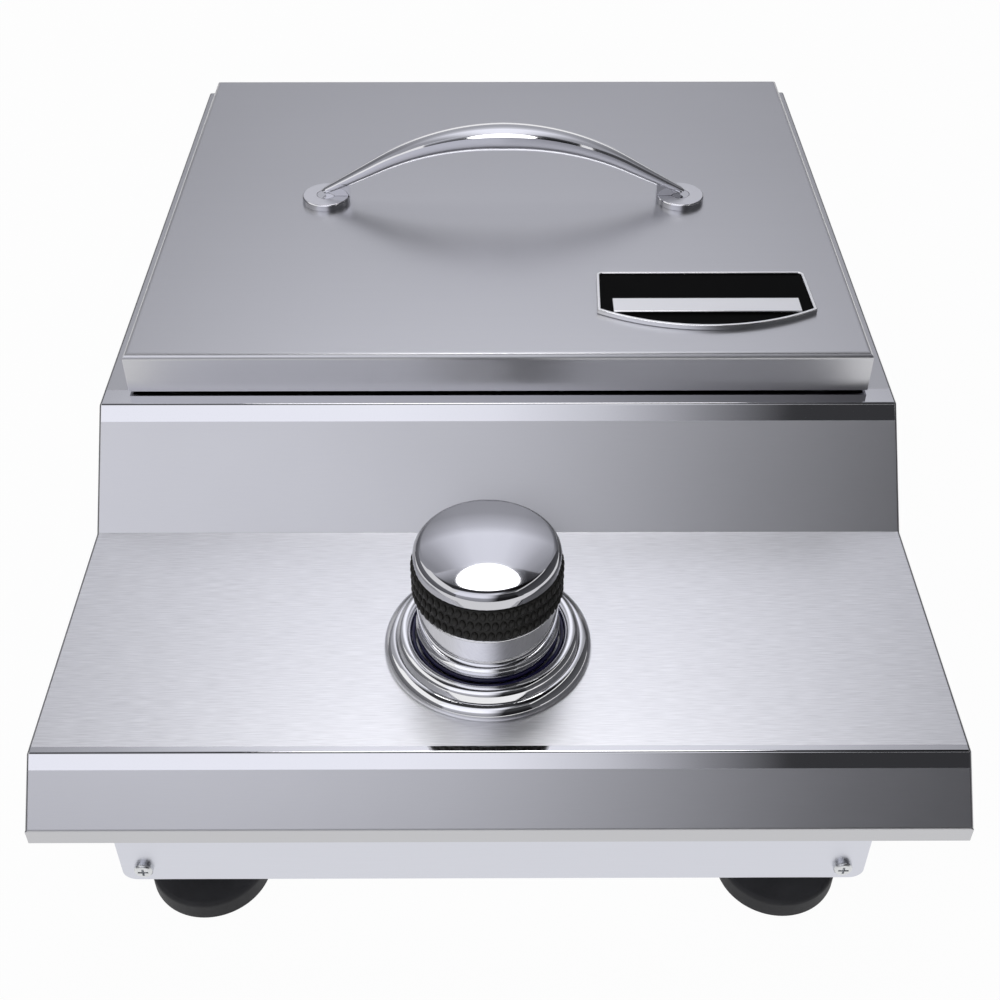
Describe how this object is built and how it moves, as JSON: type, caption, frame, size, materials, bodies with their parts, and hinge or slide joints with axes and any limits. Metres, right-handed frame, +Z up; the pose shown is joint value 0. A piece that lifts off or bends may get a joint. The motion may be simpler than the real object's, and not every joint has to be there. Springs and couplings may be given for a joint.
{
  "type": "built in side burner",
  "caption": "Drop-in gas side burner: stepped stainless hood with a control shelf, knurled chrome knob, lift-off lid with a bow handle, burner, grate, gas train and rubber feet.",
  "frame": {"origin": "middle of the bounding box at the height of the ground under the feet", "axes": "+X to the right seen from the knob's side, +Y away from the user towards the gas inlet, +Z up"},
  "size_m": [0.33, 0.469, 0.2001],
  "materials": {
    "brushed_stainless": "fine brushed satin with polished strips beside the bends",
    "chassis_steel": "plain mill finish, slightly bright",
    "polished_chrome": "mirror polished",
    "black_rubber": "matt black",
    "knurled_rubber": "matt black, knurled",
    "brass": "machined, slightly dull",
    "cast_burner": "cast, dull",
    "grate_steel": "drawn stainless rod",
    "zinc_screws": "bright zinc",
    "ceramic": "glazed white ceramic",
    "dark_ring": "dark blue translucent plastic",
    "badge_black": "black enamel"
  },
  "bodies": {
    "base": {"hood": "brushed_stainless", "chassis": "chassis_steel", "front_panel": "chassis_steel", "panel_screws": "zinc_screws", "foot_pads": "black_rubber", "foot_studs": "zinc_screws", "foot_nuts": "zinc_screws", "burner_bowl": "brushed_stainless", "grate_frame": "grate_steel", "grate_bars": "grate_steel", "burner_body": "cast_burner", "burner_cap": "brass", "burner_bracket": "chassis_steel", "burner_screw": "zinc_screws", "igniter_electrode": "ceramic", "spark_pin": "grate_steel", "igniter_clip": "chassis_steel", "orifice": "brass", "valve_body": "brass", "valve_bracket": "chassis_steel", "valve_screws": "zinc_screws", "gas_pipe": "brass", "pipe_nuts": "brass", "inlet_fitting": "brass", "inlet_locknut": "brass", "bezel": "polished_chrome", "light_ring": "dark_ring", "bezel_screws": "zinc_screws", "lid_bumpers": "black_rubber"},
    "valve_plug": {"valve_plug": "brass"},
    "knob": {"valve_stem": "zinc_screws", "knob_body": "polished_chrome", "knob_grip": "knurled_rubber", "knob_cap": "polished_chrome"},
    "lid": {"lid": "brushed_stainless", "handle_bar": "polished_chrome", "handle_bases": "polished_chrome", "handle_screws": "zinc_screws", "badge_frame": "polished_chrome", "badge_face": "badge_black", "badge_bar": "polished_chrome"},
    "air_shutter": {"air_shutter": "zinc_screws"}
  },
  "joints": [
    {"name": "lid_lift", "type": "slide", "parent": "base", "child": "lid", "axis": [0, 0, 1], "range_m": [0, 0.15]},
    {"name": "knob_turn", "type": "hinge", "parent": "base", "child": "valve_plug", "pos_m": [-0.0042, -0.1632, 0.1056], "axis": [0, 0, 1], "range_deg": [0, 210]},
    {"name": "knob_push", "type": "slide", "parent": "valve_plug", "child": "knob", "axis": [0, 0, -1], "range_m": [0, 0.003], "stiffness_N_per_m": 1000, "springref_m": -0.006},
    {"name": "shutter_turn", "type": "hinge", "parent": "base", "child": "air_shutter", "pos_m": [-0.0042, -0.1257, 0.07], "axis": [0, 1, 0], "range_deg": [0, 75]}
  ]
}
